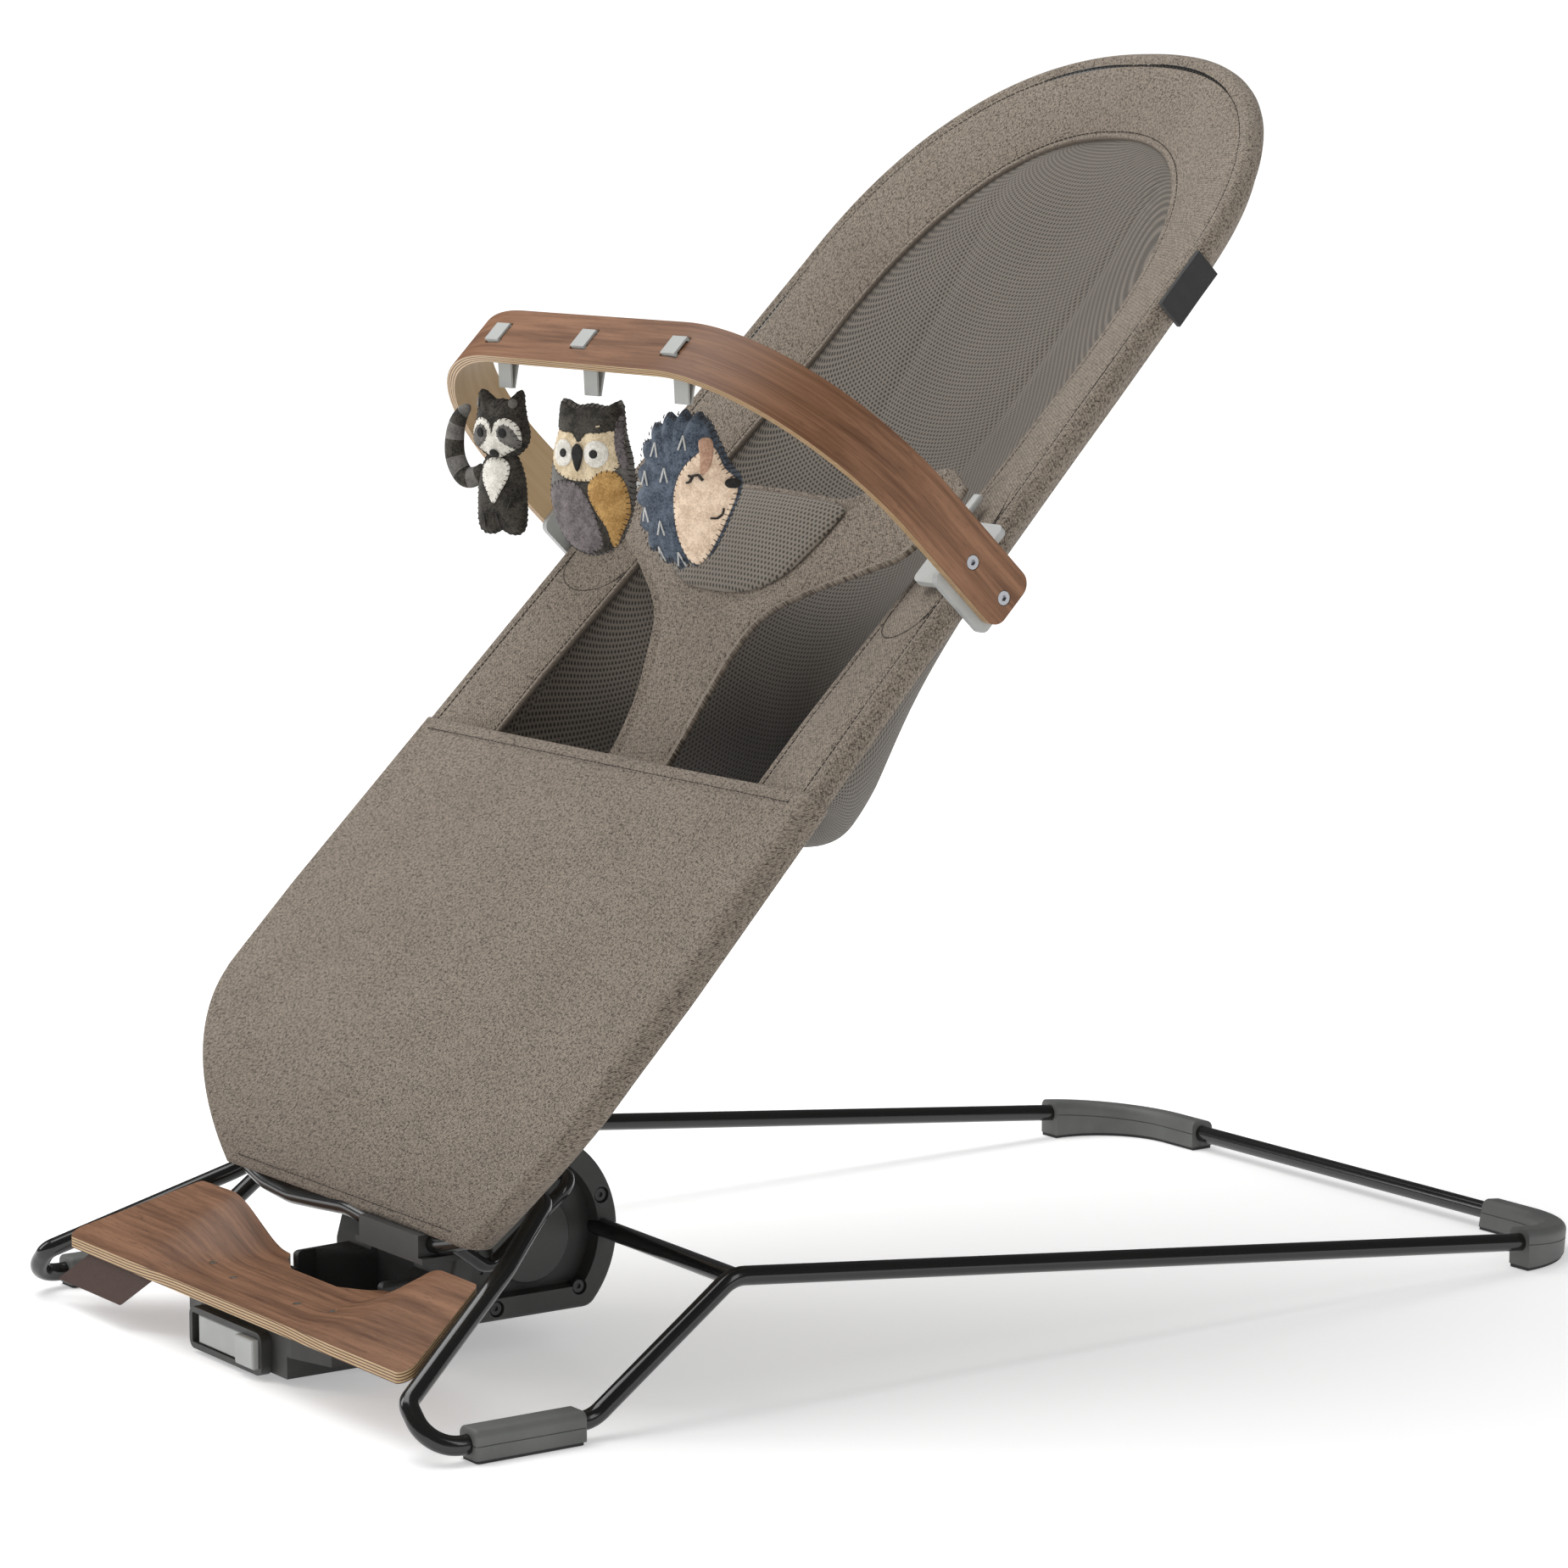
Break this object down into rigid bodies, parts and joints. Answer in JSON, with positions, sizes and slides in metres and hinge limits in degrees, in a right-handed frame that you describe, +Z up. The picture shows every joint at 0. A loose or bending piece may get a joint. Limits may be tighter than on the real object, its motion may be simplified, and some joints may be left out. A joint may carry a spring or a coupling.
{
  "type": "baby bouncer seat",
  "caption": "Baby bouncer seat: fabric hoop seat that tips on a bent steel tube base, with plywood footboard, side hubs and a toy bar with hanging felt toys.",
  "frame": {"origin": "on the floor, midway between the two sides and between the front and rear of the base", "axes": "+Z up, +Y towards the head end, +X towards the side with the fabric label"},
  "size_m": [0.447, 0.7803, 0.6799],
  "materials": {
    "bush": "natural nylon",
    "cap": "smooth satin",
    "dark_screw": "satin black",
    "felt_blue": "wool felt",
    "felt_dark": "wool felt",
    "felt_owl": "wool felt",
    "foot": "matte",
    "hub": "fine grained",
    "label": "woven satin, blank",
    "leather": "embossed matte",
    "mesh": "spacer mesh",
    "pale_plastic": "satin",
    "ribbon": "woven ribbon",
    "screw": "satin",
    "sole": "matte",
    "tube": "gloss black powder coat",
    "twill": "heathered twill",
    "walnut": "satin veneer over pale plies",
    "well": "matte"
  },
  "bodies": {
    "base": {"rear_bar": "tube", "rail_left": "tube", "rail_right": "tube", "leg_left": "tube", "leg_right": "tube", "front_bar": "tube", "stub_left": "tube", "stub_right": "tube", "rear_foot_left": "foot", "rear_foot_right": "foot", "rear_sole_left": "sole", "rear_sole_right": "sole", "front_foot_left": "foot", "front_foot_right": "foot", "front_sole_left": "sole", "front_sole_right": "sole", "hub_housing": "hub", "hub_cover_left": "hub", "hub_cover_right": "hub", "pivot_cap_left": "cap", "pivot_cap_right": "cap", "hub_screws": "dark_screw", "well_ring": "well", "hub_base_plate": "hub", "saddle": "hub", "lock_surround": "hub", "footboard": "walnut", "board_screws": "screw", "leather_tag": "leather"},
    "flex_bushes": {"pivot_bushes": "bush"},
    "seat": {"hoop_upper": "tube", "hoop_lower": "tube", "seat_loop_left": "tube", "seat_loop_right": "tube", "knuckle_left": "hub", "knuckle_right": "hub", "bracket": "hub", "bracket_screws": "dark_screw", "border": "twill", "leg_cover": "twill", "sling": "mesh", "harness": "twill", "harness_pad": "mesh", "belt_toggles": "pale_plastic", "side_label": "label"},
    "toy_bar": {"toy_bar": "walnut", "bar_clip_left": "pale_plastic", "bar_clip_right": "pale_plastic", "bar_screws": "screw", "strap_loops": "ribbon"},
    "raccoon": {"raccoon": "felt_dark", "raccoon_strap": "ribbon"},
    "owl": {"owl": "felt_owl", "owl_strap": "ribbon"},
    "hedgehog": {"hedgehog": "felt_blue", "hedgehog_strap": "ribbon"},
    "lock_slider": {"lock_slider": "pale_plastic"},
    "lock_rod": {"lock_rod": "screw"}
  },
  "joints": [
    {"name": "bounce_flex", "type": "hinge", "parent": "base", "child": "flex_bushes", "pos_m": [0, -0.2558, 0.096], "axis": [-1, 0, 0], "range_deg": [-2.5, 2.5], "stiffness_Nm_per_rad": 140, "springref_deg": -1.72},
    {"name": "recline", "type": "hinge", "parent": "flex_bushes", "child": "seat", "pos_m": [0, -0.2558, 0.096], "axis": [-1, 0, 0], "range_deg": [0, 46]},
    {"name": "toy_bar_lift", "type": "slide", "parent": "seat", "child": "toy_bar", "axis": [0, -0.7157, 0.6984], "range_m": [0, 0.09]},
    {"name": "raccoon_swing", "type": "hinge", "parent": "toy_bar", "child": "raccoon", "pos_m": [-0.0864, -0.1523, 0.52271], "axis": [1, 0, 0], "range_deg": [-20, 20]},
    {"name": "owl_swing", "type": "hinge", "parent": "toy_bar", "child": "owl", "pos_m": [0, -0.1523, 0.52271], "axis": [1, 0, 0], "range_deg": [-20, 20]},
    {"name": "hedgehog_swing", "type": "hinge", "parent": "toy_bar", "child": "hedgehog", "pos_m": [0.0864, -0.1523, 0.52271], "axis": [1, 0, 0], "range_deg": [-20, 20]},
    {"name": "bounce_lock_slide", "type": "slide", "parent": "base", "child": "lock_slider", "axis": [-1, 0, 0], "range_m": [0, 0.005]},
    {"name": "lock_rod_travel", "type": "slide", "parent": "base", "child": "lock_rod", "axis": [0, 1, 0], "range_m": [0, 0.004]}
  ],
  "couplings": [
    {"joint": "lock_rod_travel", "follows": "bounce_lock_slide", "ratio": 0.8}
  ]
}
